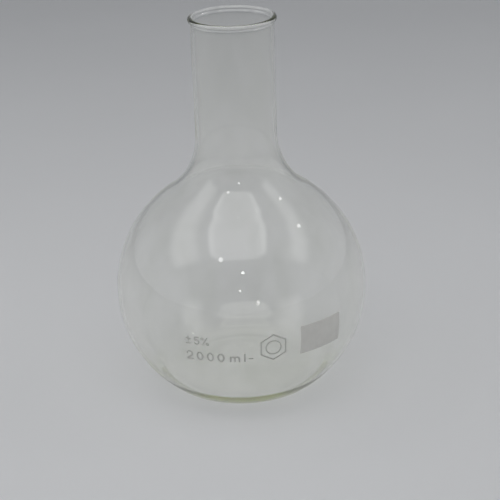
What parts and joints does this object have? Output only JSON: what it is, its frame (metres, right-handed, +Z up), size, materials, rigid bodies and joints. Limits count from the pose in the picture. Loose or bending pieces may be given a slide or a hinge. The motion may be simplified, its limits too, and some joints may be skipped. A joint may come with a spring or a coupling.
{
  "type": "flat bottom boiling flask",
  "caption": "Tall-necked round glass flask that stands on a flat base, with a beaded mouth and white enamel volume marks and writing field.",
  "frame": {"origin": "centre of the standing face, on the surface that the flask stands on", "axes": "+Z up the axis of bulb and neck, out of the mouth; -Y is the front, where the enamel marks are; +X is to the right seen from the front"},
  "size_m": [0.168, 0.168, 0.25],
  "materials": {
    "borosilicate_glass": "clear polished borosilicate glass, faint green in thick sections",
    "white_enamel": "fired white screen-printed enamel, matt"
  },
  "bodies": {
    "root": {"flask_body": "borosilicate_glass", "writing_panel": "white_enamel", "capacity_marking": "white_enamel", "tolerance_marking": "white_enamel", "level_dash": "white_enamel", "lab_emblem": "white_enamel"}
  },
  "joints": []
}
